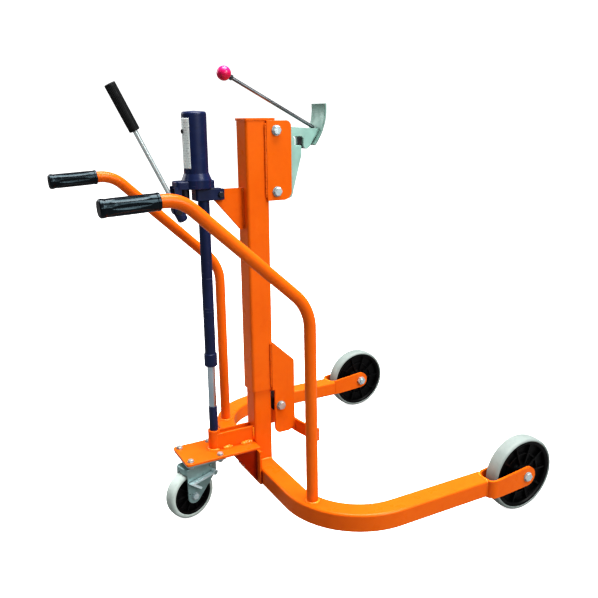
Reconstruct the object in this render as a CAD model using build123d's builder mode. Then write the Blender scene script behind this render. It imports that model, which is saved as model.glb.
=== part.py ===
from build123d import *
import math
import os

os.makedirs("parts", exist_ok=True)

# ---------------------------------------------------------------------------
# Driving dimensions, millimetres.  +X is forward (towards the load), +Y is the
# truck's left, +Z is up, and the floor is Z = 0.  X values below are counted
# from the mast axis, which stands at MAST_X in the part's own frame.
# ---------------------------------------------------------------------------
MAST_X = -112.6            # mast axis behind the middle of the footprint

# base tubes
TUBE_W, TUBE_H, TUBE_T, TUBE_R = 53.0, 47.0, 3.2, 6.0
TUBE_TOP = 114.0
TUBE_Z = TUBE_TOP - TUBE_H / 2
CROSS_X = -3.0             # rear cross run
ARM_Y = 383.5              # side arms
BEND_R = 180.0
TUBE_END = 457.0
YOKE_X = 443.0

# front wheels and yokes
WHEEL_X, WHEEL_Y, WHEEL_R, WHEEL_W = 566.0, 394.0, 100.0, 40.0
RIM_R = 91.0
AXLE_R = 8.0
YOKE_T, YOKE_IN = 6.0, 26.5
EAR_R = 27.0

# mast post and lifting sleeve
POST, POST_T = 50.0, 4.0
POST_LOW, POST_TOP = 64.0, 880.0
SLEEVE, SLEEVE_T = 60.0, 4.5
SLEEVE_LOW, SLEEVE_TOP = 315.0, 1004.0
CAP_T, CAP_FRONT = 6.0, 48.0
PLATE_T = 6.0
PLATE_FRONT = 89.0
BOLT_X, BOLT_HI, BOLT_LO = 48.0, 981.0, 834.0
BOLT_R = 6.0
ROLLER_X, ROLLER_Z, ROLLER_R = 47.7, 266.0, 22.4

# clamp
JAW_X, JAW_Z = 120.5, 943.0
CHEEK_IN, CHEEK_OUT = 22.0, 30.0
BEAK_IN, BEAK_OUT = 12.5, 21.5
HORN_X, HORN_Z, HORN_R, HORN_T, HORN_W = 52.0, 1031.0, 133.5, 5.0, 68.0
KNOB_X, KNOB_Z, KNOB_R = -68.0, 1112.0, 17.0
ROD_END_X, ROD_END_Z = 172.0, 985.2
BEAK_ROD_R = 4.2

# hydraulic ram and hand pump
RAM_X = -132.0
RES_X, RES_R, RES_LOW, RES_TOP = -147.0, 29.0, 886.0, 1028.0
CAST_LOW, EAR_LOW, EAR_TOP, CAST_R = 847.0, 851.0, 869.0, 36.0
CYL_R, CYL_BORE, CYL_LOW = 14.0, 11.0, 434.0
GLAND_R, GLAND_LOW = 16.5, 400.0
ROD_R = 10.0
FOOT_R, FOOT_TOP = 11.0, 290.0
SOCKET_R, SOCKET_TOP = 15.6, 223.0
STRAP_T, STRAP_TOP = 6.0, 214.0
PIVOT_X, PIVOT_Z, PIVOT_R = -200.0, 800.0, 5.0
PLUNGER_X, PLUNGER_R = -178.0, 6.0
ROCKER_R = 12.5
LEVER_X0, LEVER_Z0 = -192.0, 790.0          # a point of the lever's centre line
LEVER_UX, LEVER_UZ = -0.4375, 0.8992        # and its direction

# caster
PLATE_Z, PLATE_H = 164.0, 6.0
SWIVEL_X, TRAIL, HEADING = -174.0, 37.0, 15.0
CASTER_R, CASTER_W = 66.0, 34.0
FORK_IN, FORK_OUT = 20.0, 24.0
BRAKE_X, BRAKE_Z = 22.0, 115.0

# push handles
HANDLE_X, HANDLE_Y, HANDLE_R, HANDLE_T = 8.0, 265.0, 14.2, 2.3
HANDLE_FOOT_X, HANDLE_FOOT_Y = 10.5, 271.0
HANDLE_RISE = {1: 7.0, -1: -2.0}
HANDLE_KNEE_Z = 597.0
HANDLE_TOP_X, HANDLE_TOP_Z = -281.0, 861.0
HANDLE_END_X, HANDLE_END_Z = -437.0, 853.0
GRIP_START_X, GRIP_END_X = -322.0, -440.0


def level(z):
    """Horizontal plane at height z, with its origin on the mast axis."""
    return Plane(origin=(MAST_X, 0, z))


def side(y):
    """Vertical plane facing -Y at the given y: local x is X from the mast, local y is Z."""
    return Plane(origin=(MAST_X, y, 0), x_dir=(1, 0, 0), z_dir=(0, -1, 0))


def caster_level(z):
    """Horizontal plane turned to the caster's heading, origin on its swivel axis."""
    a = math.radians(HEADING)
    return Plane(origin=(MAST_X + SWIVEL_X, 0, z), x_dir=(math.cos(a), math.sin(a), 0), z_dir=(0, 0, 1))


def caster_side(y):
    """Vertical plane along the caster's heading, y to the left of its middle, facing right."""
    a = math.radians(HEADING)
    return Plane(
        origin=(MAST_X + SWIVEL_X - y * math.sin(a), y * math.cos(a), 0),
        x_dir=(math.cos(a), math.sin(a), 0),
        z_dir=(math.sin(a), -math.cos(a), 0),
    )


def lever_plane(t):
    """Plane square to the pump lever, t along it from its reference point."""
    return Plane(
        origin=(MAST_X + LEVER_X0 + t * LEVER_UX, 0, LEVER_Z0 + t * LEVER_UZ),
        x_dir=(0, 1, 0),
        z_dir=(LEVER_UX, 0, LEVER_UZ),
    )


# ---------------------------------------------------------------------------
# Base: two bent leg tubes, each from the post round to its front wheel
# ---------------------------------------------------------------------------
k45 = 1 - math.cos(math.radians(45))
for s, hand in ((1, "left"), (-1, "right")):
    with BuildPart() as leg:
        with BuildLine(level(TUBE_Z)) as run:
            Line((CROSS_X, s * POST / 2), (CROSS_X, s * (ARM_Y - BEND_R)))
            ThreePointArc(
                (CROSS_X, s * (ARM_Y - BEND_R)),
                (CROSS_X + BEND_R * k45, s * (ARM_Y - BEND_R * k45)),
                (CROSS_X + BEND_R, s * ARM_Y),
            )
            Line((CROSS_X + BEND_R, s * ARM_Y), (TUBE_END, s * ARM_Y))
        with BuildSketch(
            Plane(origin=(MAST_X + CROSS_X, s * POST / 2, TUBE_Z), x_dir=(1, 0, 0), z_dir=(0, s, 0))
        ):
            RectangleRounded(TUBE_W, TUBE_H, TUBE_R)
            RectangleRounded(TUBE_W - 2 * TUBE_T, TUBE_H - 2 * TUBE_T, TUBE_R - TUBE_T, mode=Mode.SUBTRACT)
        sweep()
        with BuildSketch(level(40)):
            with BuildLine():
                FilletPolyline(
                    (YOKE_X + 60, s * (WHEEL_Y + YOKE_IN + YOKE_T)), (YOKE_X, s * (WHEEL_Y + YOKE_IN + YOKE_T)),
                    (YOKE_X, s * (WHEEL_Y - YOKE_IN - YOKE_T)), (YOKE_X + 60, s * (WHEEL_Y - YOKE_IN - YOKE_T)),
                    radius=(20, 26),
                )
                Line((YOKE_X + 60, s * (WHEEL_Y - YOKE_IN - YOKE_T)), (YOKE_X + 60, s * (WHEEL_Y + YOKE_IN + YOKE_T)))
            make_face()
        extrude(amount=110, mode=Mode.SUBTRACT)
    leg.part.label = f"{hand}_leg_tube"
    export_step(leg.part, f"parts/{hand}_leg_tube.step")

# Wheel yokes: flat bar bent to a U round the back of each wheel
with BuildPart() as yokes:
    with BuildSketch(level(40)):
        for s in (1, -1):
            with BuildLine():
                FilletPolyline(
                    (YOKE_X + 200, s * (WHEEL_Y + YOKE_IN + YOKE_T)), (YOKE_X, s * (WHEEL_Y + YOKE_IN + YOKE_T)),
                    (YOKE_X, s * (WHEEL_Y - YOKE_IN - YOKE_T)), (YOKE_X + 200, s * (WHEEL_Y - YOKE_IN - YOKE_T)),
                    radius=(20, 26),
                )
                Line(
                    (YOKE_X + 200, s * (WHEEL_Y - YOKE_IN - YOKE_T)), (YOKE_X + 200, s * (WHEEL_Y + YOKE_IN + YOKE_T))
                )
            make_face()
            with BuildLine():
                FilletPolyline(
                    (YOKE_X + 210, s * (WHEEL_Y + YOKE_IN)), (YOKE_X + YOKE_T, s * (WHEEL_Y + YOKE_IN)),
                    (YOKE_X + YOKE_T, s * (WHEEL_Y - YOKE_IN)), (YOKE_X + 210, s * (WHEEL_Y - YOKE_IN)),
                    radius=(14, 20),
                )
                Line((YOKE_X + 210, s * (WHEEL_Y - YOKE_IN)), (YOKE_X + 210, s * (WHEEL_Y + YOKE_IN)))
            make_face(mode=Mode.SUBTRACT)
    extrude(amount=110)
    with BuildSketch(side(0)):
        with Locations((YOKE_X + 20, TUBE_Z)):
            Rectangle(40, TUBE_H - 1)
        with Locations((WHEEL_X, WHEEL_R)):
            Circle(EAR_R)
        make_hull()
    extrude(amount=500, both=True, mode=Mode.INTERSECT)
    with BuildSketch(side(0)):
        with Locations((WHEEL_X, WHEEL_R)):
            Circle(AXLE_R + 0.1)
    extrude(amount=500, both=True, mode=Mode.SUBTRACT)
yokes.part.label = "wheel_yokes"
export_step(yokes.part, "parts/wheel_yokes.step")

# Wheel axle bolts with hexagon heads outside and nuts inside
EAR_FACE = WHEEL_Y + YOKE_IN + YOKE_T
EAR_BACK = WHEEL_Y - YOKE_IN - YOKE_T
with BuildPart() as axles:
    for s in (1, -1):
        out = Plane(origin=(MAST_X + WHEEL_X, s * EAR_FACE, WHEEL_R), x_dir=(1, 0, 0), z_dir=(0, s, 0))
        inn = Plane(origin=(MAST_X + WHEEL_X, s * EAR_BACK, WHEEL_R), x_dir=(1, 0, 0), z_dir=(0, -s, 0))
        with BuildSketch(out):
            Circle(AXLE_R)
        extrude(amount=-(EAR_FACE - EAR_BACK + 15))
        with BuildSketch(out):
            Circle(13)
        extrude(amount=1.6)
        with BuildSketch(out):
            RegularPolygon(10.5, 6, major_radius=False)
        extrude(amount=7)
        with BuildSketch(inn):
            RegularPolygon(12, 6, major_radius=False)
            Circle(AXLE_R + 0.05, mode=Mode.SUBTRACT)
        extrude(amount=11)
    chamfer(axles.faces().sort_by(Axis.Y)[0].edges() + axles.faces().sort_by(Axis.Y)[-1].edges(), 1.2)
axles.part.label = "wheel_axle_bolts"
export_step(axles.part, "parts/wheel_axle_bolts.step")

# Mast post
with BuildPart() as post:
    with BuildSketch(level(POST_LOW)):
        RectangleRounded(POST, POST, 5)
        RectangleRounded(POST - 2 * POST_T, POST - 2 * POST_T, 2.5, mode=Mode.SUBTRACT)
    extrude(amount=POST_TOP - POST_LOW)
post.part.label = "mast_post"
export_step(post.part, "parts/mast_post.step")

# Transverse base plate on the back of the cross tubes
with BuildPart() as base_plate:
    with BuildSketch(level(70)):
        with Locations((CROSS_X - TUBE_W / 2 - 3, 0)):
            Rectangle(6, 144)
    extrude(amount=PLATE_Z - 70)
base_plate.part.label = "mast_base_plate"
export_step(base_plate.part, "parts/mast_base_plate.step")

# Caster plate with four bolt holes
with BuildPart() as caster_plate:
    with BuildSketch(level(PLATE_Z)):
        with Locations(((-228 - POST / 2) / 2, 0)):
            Rectangle(228 - POST / 2, 114)
        fillet(vertices().group_by(Axis.X)[0], 8)
        with Locations((SWIVEL_X, 0)):
            with GridLocations(80, 86, 2, 2):
                Circle(4.2, mode=Mode.SUBTRACT)
    extrude(amount=PLATE_H)
    fillet(caster_plate.faces().sort_by(Axis.Z)[-1].outer_wire().edges(), 1)
caster_plate.part.label = "caster_plate"
export_step(caster_plate.part, "parts/caster_plate.step")

# Gussets between the caster plate and the base plate
with BuildPart() as gussets:
    for y in (55, -49):
        with BuildSketch(side(y)):
            with BuildLine():
                Polyline(
                    (CROSS_X - TUBE_W / 2 - 6, PLATE_Z), (-94, PLATE_Z), (-94, 158), (-76, 131), (-72, 131),
                    (-70, 122), (CROSS_X - TUBE_W / 2 - 6, 73), close=True,
                )
            make_face()
        extrude(amount=6)
gussets.part.label = "caster_gussets"
export_step(gussets.part, "parts/caster_gussets.step")

# Socket for the ram's foot: a short tube standing on the caster plate
with BuildPart() as socket:
    with BuildSketch(level(PLATE_Z + PLATE_H)):
        with Locations((RAM_X, 0)):
            Circle(SOCKET_R)
            Circle(FOOT_R + 0.1, mode=Mode.SUBTRACT)
    extrude(amount=SOCKET_TOP - PLATE_Z - PLATE_H)
    fillet(socket.edges().group_by(Axis.Z)[-1].sort_by(SortBy.RADIUS)[-1], 1)
socket.part.label = "ram_socket"
export_step(socket.part, "parts/ram_socket.step")

# Two flat bars between the socket and the post, standing on the caster plate
with BuildPart() as strap:
    with BuildSketch(level(PLATE_Z + PLATE_H)):
        with Locations(((RAM_X - POST / 2) / 2, SOCKET_R - STRAP_T / 2), ((RAM_X - POST / 2) / 2, STRAP_T / 2 - SOCKET_R)):
            Rectangle(-POST / 2 - RAM_X, STRAP_T)
        with Locations((RAM_X, 0)):
            Circle(SOCKET_R + 0.05, mode=Mode.SUBTRACT)
    extrude(amount=STRAP_TOP - PLATE_Z - PLATE_H)
    fillet(strap.edges().group_by(Axis.Z)[-1].filter_by(Axis.X), 0.9)
strap.part.label = "ram_strap"
export_step(strap.part, "parts/ram_strap.step")

# Ram foot: a round peg standing in the socket
with BuildPart() as foot:
    with BuildSketch(side(0)):
        with BuildLine():
            Polyline(
                (RAM_X, PLATE_Z + PLATE_H), (RAM_X + FOOT_R, PLATE_Z + PLATE_H), (RAM_X + FOOT_R, FOOT_TOP - 1.5),
                (RAM_X + FOOT_R - 1.5, FOOT_TOP), (RAM_X, FOOT_TOP), close=True,
            )
        make_face()
    revolve(axis=Axis((MAST_X + RAM_X, 0, 0), (0, 0, 1)))
foot.part.label = "ram_foot"
export_step(foot.part, "parts/ram_foot.step")

# Ram rod with its piston
with BuildPart() as ram:
    with BuildSketch(side(0)):
        with BuildLine():
            Polyline(
                (RAM_X, FOOT_TOP), (RAM_X + ROD_R, FOOT_TOP), (RAM_X + ROD_R, 700),
                (RAM_X + CYL_BORE - 0.05, 700), (RAM_X + CYL_BORE - 0.05, 706), (RAM_X + CYL_BORE - 1.2, 706),
                (RAM_X + CYL_BORE - 1.2, 711), (RAM_X + CYL_BORE - 0.05, 711), (RAM_X + CYL_BORE - 0.05, 726),
                (RAM_X, 726), close=True,
            )
        make_face()
    revolve(axis=Axis((MAST_X + RAM_X, 0, 0), (0, 0, 1)))
ram.part.label = "ram_rod"
export_step(ram.part, "parts/ram_rod.step")

# Push handles: bent round tube, leaning a little inwards from the base and swept back to the grip
HANDLE_LEAN = math.atan((HANDLE_FOOT_Y - HANDLE_Y) / (HANDLE_TOP_Z - TUBE_TOP))


def handle_plane(s):
    return Plane(
        origin=(MAST_X, s * HANDLE_FOOT_Y, TUBE_TOP), x_dir=(1, 0, 0),
        z_dir=(0, -math.cos(HANDLE_LEAN), -s * math.sin(HANDLE_LEAN)),
    )


for s, hand in ((1, "left"), (-1, "right")):
    with BuildPart() as handle:
        rise = HANDLE_RISE[s]
        with BuildLine(handle_plane(s)):
            FilletPolyline(
                (HANDLE_FOOT_X, 0), (HANDLE_X, HANDLE_KNEE_Z - TUBE_TOP), (HANDLE_TOP_X, HANDLE_TOP_Z + rise - TUBE_TOP),
                (HANDLE_END_X, HANDLE_END_Z + rise - TUBE_TOP), radius=(110, 82),
            )
        with BuildSketch(Plane(origin=(MAST_X + HANDLE_FOOT_X, s * HANDLE_FOOT_Y, TUBE_TOP))):
            Circle(HANDLE_R)
            Circle(HANDLE_R - HANDLE_T, mode=Mode.SUBTRACT)
        sweep()
    handle.part.label = f"{hand}_handle_tube"
    export_step(handle.part, f"parts/{hand}_handle_tube.step")

# Hand grips: barrel sleeves with long pointed flutes, closed at the outer end
gl = math.hypot(HANDLE_END_X - HANDLE_TOP_X, HANDLE_END_Z - HANDLE_TOP_Z)
gux, guz = (HANDLE_END_X - HANDLE_TOP_X) / gl, (HANDLE_END_Z - HANDLE_TOP_Z) / gl
glen = (GRIP_END_X - GRIP_START_X) / gux
FLUTE_D, FLUTE_MID, FLUTE_END = 29.4, 13.3, 11.0
with BuildPart() as grips:
    for s in (1, -1):
        hp = handle_plane(s)
        start = hp.from_local_coords(
            (GRIP_START_X, HANDLE_TOP_Z + HANDLE_RISE[s] - TUBE_TOP + (GRIP_START_X - HANDLE_TOP_X) / gux * guz, 0)
        )
        run = hp.x_dir * gux + hp.y_dir * guz
        with BuildSketch(Plane(origin=start, x_dir=run, z_dir=hp.z_dir * -1)):
            with BuildLine():
                Polyline(
                    (0, HANDLE_R + 0.02), (0, 17.2), (1, 18.1), (5.5, 18.1), (7, 17.4), (30, 17.8), (60, 18.1),
                    (90, 17.9), (105, 17.6), (108, 18.3), (111, 18.8), (glen - 2.5, 18.4), (glen, 15.8), (glen, 0),
                    (glen - 2.6, 0), (glen - 2.6, HANDLE_R + 0.02), close=True,
                )
            make_face()
        revolve(axis=Axis(start, run))
        for k in range(8):
            out = hp.z_dir * math.cos(math.radians(45 * k)) + run.cross(hp.z_dir) * math.sin(math.radians(45 * k))
            with BuildSketch(Plane(origin=start, x_dir=run, z_dir=run.cross(out))):
                with BuildLine():
                    Polyline((9, FLUTE_D - FLUTE_END), (9, FLUTE_D), (105, FLUTE_D), (105, FLUTE_D - FLUTE_END))
                    ThreePointArc((105, FLUTE_D - FLUTE_END), (57, FLUTE_D - FLUTE_MID), (9, FLUTE_D - FLUTE_END))
                make_face()
            revolve(axis=Axis(start + out * FLUTE_D, run), mode=Mode.SUBTRACT)
grips.part.label = "handle_grips"
export_step(grips.part, "parts/handle_grips.step")

# Front wheels: rubber tyre, ribbed hub and a steel bush on the axle bolt
for s, hand in ((1, "left"), (-1, "right")):
    spin = Axis((MAST_X + WHEEL_X, s * WHEEL_Y, WHEEL_R), (0, 1, 0))
    cut = Plane(origin=(MAST_X + WHEEL_X, s * WHEEL_Y, WHEEL_R), x_dir=(0, 1, 0), z_dir=(1, 0, 0))
    disc = Plane(origin=(MAST_X + WHEEL_X, s * WHEEL_Y, WHEEL_R), x_dir=(1, 0, 0), z_dir=(0, -1, 0))
    w = WHEEL_W / 2
    with BuildPart() as tyre:
        with BuildSketch(cut):
            with BuildLine():
                Polyline((-w, 94), (-w, RIM_R + 1.2), (-w + 2, RIM_R), (w - 2, RIM_R), (w, RIM_R + 1.2), (w, 94))
                ThreePointArc((w, 94), (w - 2.4, 97.5), (w - 7.5, 99.1))
                ThreePointArc((w - 7.5, 99.1), (0, WHEEL_R), (-w + 7.5, 99.1))
                ThreePointArc((-w + 7.5, 99.1), (-w + 2.4, 97.5), (-w, 94))
            make_face()
        revolve(axis=spin)
    tyre.part.label = f"{hand}_front_tyre"
    export_step(tyre.part, f"parts/{hand}_front_tyre.step")

    with BuildPart() as hub:
        with BuildSketch(cut):
            with BuildLine():
                Polyline(
                    (-17.5, RIM_R), (-17.5, RIM_R - 6), (-15, RIM_R - 9), (-5, RIM_R - 11), (-5, 30), (-10, 27),
                    (-24.3, 25), (-24.3, 12), (24.3, 12), (24.3, 25), (10, 27), (5, 30), (5, RIM_R - 11),
                    (15, RIM_R - 9), (17.5, RIM_R - 6), (17.5, RIM_R), close=True,
                )
            make_face()
        revolve(axis=spin)
        with BuildSketch(disc):
            with PolarLocations(53.5, 10):
                Rectangle(60, 4.2)
        extrude(amount=13, both=True)
        with BuildSketch(disc):
            Circle(56)
            Circle(53, mode=Mode.SUBTRACT)
        extrude(amount=10.5, both=True)
    hub.part.label = f"{hand}_front_hub"
    export_step(hub.part, f"parts/{hand}_front_hub.step")

    with BuildPart() as bush:
        with BuildSketch(disc):
            Circle(12)
            Circle(AXLE_R + 0.05, mode=Mode.SUBTRACT)
        extrude(amount=26.0, both=True)
    bush.part.label = f"{hand}_front_bush"
    export_step(bush.part, f"parts/{hand}_front_bush.step")

# ---------------------------------------------------------------------------
# Lifting carriage
# ---------------------------------------------------------------------------
with BuildPart() as sleeve:
    with BuildSketch(level(SLEEVE_LOW)):
        RectangleRounded(SLEEVE, SLEEVE, 7)
        RectangleRounded(SLEEVE - 2 * SLEEVE_T, SLEEVE - 2 * SLEEVE_T, 2.5, mode=Mode.SUBTRACT)
    extrude(amount=SLEEVE_TOP - SLEEVE_LOW)
sleeve.part.label = "lift_sleeve"
export_step(sleeve.part, "parts/lift_sleeve.step")

with BuildPart() as cap:
    with BuildSketch(level(SLEEVE_TOP)):
        with Locations(((CAP_FRONT - SLEEVE / 2 - 1) / 2, 0)):
            RectangleRounded(CAP_FRONT + SLEEVE / 2 + 1, SLEEVE + 2, 3)
    extrude(amount=CAP_T)
    fillet(cap.edges().group_by(Axis.Z)[-1] + cap.edges().group_by(Axis.Z)[0], 1)
cap.part.label = "sleeve_cap"
export_step(cap.part, "parts/sleeve_cap.step")

# Side plates: an upper pair that carries the clamp, a lower pair that carries the roller
for y, hand in ((SLEEVE / 2 + PLATE_T, "left"), (-SLEEVE / 2, "right")):
    with BuildPart() as upper:
        with BuildSketch(side(y)):
            with Locations(((22 + PLATE_FRONT) / 2, (812 + SLEEVE_TOP) / 2)):
                Rectangle(PLATE_FRONT - 22, SLEEVE_TOP - 812)
            fillet(vertices().group_by(Axis.X)[-1].sort_by(Axis.Z)[0], 22)
            fillet(vertices().sort_by(lambda v: v.X + v.Z)[-1], 14)
            with Locations((BOLT_X, BOLT_HI), (BOLT_X, BOLT_LO)):
                Circle(BOLT_R + 0.3, mode=Mode.SUBTRACT)
        extrude(amount=PLATE_T)
        fillet(upper.faces().sort_by(Axis.Y)[0 if y < 0 else -1].outer_wire().edges(), 0.9)
    upper.part.label = f"{hand}_upper_plate"
    export_step(upper.part, f"parts/{hand}_upper_plate.step")

    with BuildPart() as lower:
        with BuildSketch(side(y)):
            with BuildLine():
                FilletPolyline(
                    (24, 312), (24, 449), (PLATE_FRONT, 388), (PLATE_FRONT, 187), (31, 187), (31, 312),
                    radius=(1.5, 3, 12, 22, 16, 1.5), close=True,
                )
            make_face()
            with Locations((ROLLER_X, ROLLER_Z)):
                Circle(BOLT_R + 0.3, mode=Mode.SUBTRACT)
        extrude(amount=PLATE_T)
        fillet(lower.faces().sort_by(Axis.Y)[0 if y < 0 else -1].outer_wire().edges(), 0.9)
    lower.part.label = f"{hand}_lower_plate"
    export_step(lower.part, f"parts/{hand}_lower_plate.step")

# Curved backrest bar on the front edges of the lower plates
BACK_X = 406.8
BACK_R = math.hypot(BACK_X - PLATE_FRONT, SLEEVE / 2)
with BuildPart() as backrest:
    with BuildSketch(level(181)):
        with Locations((BACK_X, 0)):
            Circle(BACK_R)
            Circle(BACK_R - 6, mode=Mode.SUBTRACT)
        with Locations((100, 0)):
            Rectangle(80, 240, mode=Mode.INTERSECT)
    extrude(amount=36)
    fillet(backrest.edges().group_by(Axis.Z)[-1] + backrest.edges().group_by(Axis.Z)[0], 0.9)
backrest.part.label = "backrest_bar"
export_step(backrest.part, "parts/backrest_bar.step")

# Guide roller and its bolt: the roller runs on the front face of the post
with BuildPart() as roller:
    with BuildSketch(side(0)):
        with Locations((ROLLER_X, ROLLER_Z)):
            Circle(ROLLER_R)
    extrude(amount=19, both=True)
    fillet(roller.edges().filter_by(GeomType.CIRCLE), 2)
    with BuildSketch(side(0)):
        with Locations((ROLLER_X, ROLLER_Z)):
            Circle(11)
    extrude(amount=29.6, both=True)
    with BuildSketch(side(0)):
        with Locations((ROLLER_X, ROLLER_Z)):
            Circle(BOLT_R + 0.05)
    extrude(amount=40, both=True, mode=Mode.SUBTRACT)
roller.part.label = "guide_roller"
export_step(roller.part, "parts/guide_roller.step")

# Plate bolts: washer and hexagon head on the right side, nut on the left
OUT_Y = SLEEVE / 2 + PLATE_T
with BuildPart() as roller_bolt:
    with BuildSketch(side(-OUT_Y)):
        with Locations((ROLLER_X, ROLLER_Z)):
            Circle(BOLT_R)
    extrude(amount=-(2 * OUT_Y + 13))
    with BuildSketch(side(-OUT_Y)):
        with Locations((ROLLER_X, ROLLER_Z)):
            Circle(12.5)
    extrude(amount=2.2)
    with BuildSketch(side(-OUT_Y)):
        with Locations((ROLLER_X, ROLLER_Z)):
            RegularPolygon(9.5, 6, major_radius=False)
    extrude(amount=9)
    with BuildSketch(side(OUT_Y)):
        with Locations((ROLLER_X, ROLLER_Z)):
            RegularPolygon(9.5, 6, major_radius=False)
            Circle(BOLT_R + 0.05, mode=Mode.SUBTRACT)
    extrude(amount=-10)
    chamfer(roller_bolt.faces().sort_by(Axis.Y)[0].edges() + roller_bolt.faces().sort_by(Axis.Y)[-1].edges(), 1.1)
roller_bolt.part.label = "roller_bolt"
export_step(roller_bolt.part, "parts/roller_bolt.step")

with BuildPart() as clamp_bolts:
    for z in (BOLT_HI, BOLT_LO):
        with BuildSketch(side(-OUT_Y)):
            with Locations((BOLT_X, z)):
                Circle(BOLT_R)
        extrude(amount=-(2 * OUT_Y + 13))
        with BuildSketch(side(-OUT_Y)):
            with Locations((BOLT_X, z)):
                Circle(12.5)
        extrude(amount=2.2)
        with BuildSketch(side(-OUT_Y)):
            with Locations((BOLT_X, z)):
                RegularPolygon(9.5, 6, major_radius=False)
        extrude(amount=9)
        with BuildSketch(side(OUT_Y)):
            with Locations((BOLT_X, z)):
                RegularPolygon(9.5, 6, major_radius=False)
                Circle(BOLT_R + 0.05, mode=Mode.SUBTRACT)
        extrude(amount=-10)
    chamfer(clamp_bolts.faces().group_by(Axis.Y)[0].edges() + clamp_bolts.faces().group_by(Axis.Y)[-1].edges(), 1.1)
clamp_bolts.part.label = "clamp_bolts"
export_step(clamp_bolts.part, "parts/clamp_bolts.step")

# Clamp cheeks: plated plates inside the upper side plates, notched for the drum's chime
with BuildPart() as cheeks:
    for y in (CHEEK_OUT, -CHEEK_IN):
        with BuildSketch(side(y)):
            with BuildLine():
                FilletPolyline(
                    (34, 815), (92, 815), (JAW_X, 920), (JAW_X, JAW_Z), (102, JAW_Z), (102, 960), (92, 972),
                    (92, 1000), (34, 1000), radius=(4, 10, 14, 1.5, 3, 5, 8, 12, 4), close=True,
                )
            make_face()
            with Locations((BOLT_X, BOLT_HI), (BOLT_X, BOLT_LO)):
                Circle(BOLT_R + 0.3, mode=Mode.SUBTRACT)
        extrude(amount=CHEEK_OUT - CHEEK_IN)
    fillet(cheeks.faces().sort_by(Axis.Y)[0].outer_wire().edges() + cheeks.faces().sort_by(Axis.Y)[-1].outer_wire().edges(), 0.8)
cheeks.part.label = "clamp_cheeks"
export_step(cheeks.part, "parts/clamp_cheeks.step")

# Lower jaw: hardened block between the cheeks, its top is the seat for the chime
with BuildPart() as jaw:
    with BuildSketch(side(CHEEK_IN)):
        with BuildLine():
            FilletPolyline(
                (96, JAW_Z), (JAW_X, JAW_Z), (JAW_X, 920), (116, 904), (96, 904), radius=(1, 1.5, 10, 3, 2),
                close=True,
            )
        make_face()
    extrude(amount=2 * CHEEK_IN)
jaw.part.label = "lower_jaw"
export_step(jaw.part, "parts/lower_jaw.step")

# Beak: two plates pivoted on the upper clamp bolt, joined by the tooth block and the horn
with BuildPart() as beak:
    for y in (BEAK_OUT, -BEAK_IN):
        with BuildSketch(side(y)):
            with BuildLine():
                FilletPolyline(
                    (32, 965), (126, 965), (131, 960), (131, 939), (140, 933), (150, 941), (163, 962), (190, 966),
                    (190, 982), (96, 988), (60, 997), (32, 997),
                    radius=(15, 3, 2, 4, 4, 6, 6, 1, 1, 20, 10, 15), close=True,
                )
            make_face()
            with Locations((HORN_X, HORN_Z)):
                Circle(HORN_R, mode=Mode.INTERSECT)
            with Locations((BOLT_X, BOLT_HI)):
                Circle(BOLT_R + 0.05, mode=Mode.SUBTRACT)
        extrude(amount=BEAK_OUT - BEAK_IN)
beak.part.label = "beak_side_plates"
export_step(beak.part, "parts/beak_side_plates.step")

with BuildPart() as tooth:
    with BuildSketch(side(BEAK_IN)):
        with BuildLine():
            FilletPolyline(
                (131, 939), (140, 933), (150, 941), (158, 954), (158, 962), (131, 962), radius=(4, 4, 6, 3, 3, 2),
                close=True,
            )
        make_face()
    extrude(amount=2 * BEAK_IN)
tooth.part.label = "beak_tooth"
export_step(tooth.part, "parts/beak_tooth.step")

with BuildPart() as horn:
    with BuildSketch(side(0)):
        with Locations((HORN_X, HORN_Z)):
            Circle(HORN_R + HORN_T)
            Circle(HORN_R, mode=Mode.SUBTRACT)
        with BuildLine():
            Polyline(
                (HORN_X, HORN_Z), (HORN_X + 300 * math.cos(math.radians(40)), HORN_Z - 300 * math.sin(math.radians(40))),
                (HORN_X + 300, HORN_Z), (HORN_X + 300, HORN_Z + 300 * math.tan(math.radians(5.2))), close=True,
            )
        make_face(mode=Mode.INTERSECT)
    extrude(amount=HORN_W / 2, both=True)
    fillet(horn.edges().filter_by(GeomType.CIRCLE), 1)
horn.part.label = "beak_horn"
export_step(horn.part, "parts/beak_horn.step")

# Beak lever: round rod from the horn back over the mast, with a ball knob
rl = math.hypot(KNOB_X - ROD_END_X, KNOB_Z - ROD_END_Z)
rux, ruz = (KNOB_X - ROD_END_X) / rl, (KNOB_Z - ROD_END_Z) / rl
rod_plane = Plane(origin=(MAST_X + ROD_END_X, 0, ROD_END_Z), x_dir=(0, 1, 0), z_dir=(rux, 0, ruz))
with BuildPart() as beak_rod:
    with BuildSketch(rod_plane):
        Circle(BEAK_ROD_R)
    extrude(amount=rl - 4)
    with BuildSketch(rod_plane.offset(rl - KNOB_R - 6)):
        RegularPolygon(6, 6, major_radius=False)
    extrude(amount=5)
beak_rod.part.label = "beak_lever_rod"
export_step(beak_rod.part, "parts/beak_lever_rod.step")

with BuildPart() as knob:
    with Locations((MAST_X + KNOB_X, 0, KNOB_Z)):
        Sphere(KNOB_R)
    with BuildSketch(rod_plane):
        Circle(BEAK_ROD_R + 0.02)
    extrude(amount=rl - 3.9, mode=Mode.SUBTRACT)
    with BuildSketch(rod_plane):
        Circle(9)
    extrude(amount=rl - KNOB_R + 2, mode=Mode.SUBTRACT)
knob.part.label = "beak_knob"
export_step(knob.part, "parts/beak_knob.step")

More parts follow.
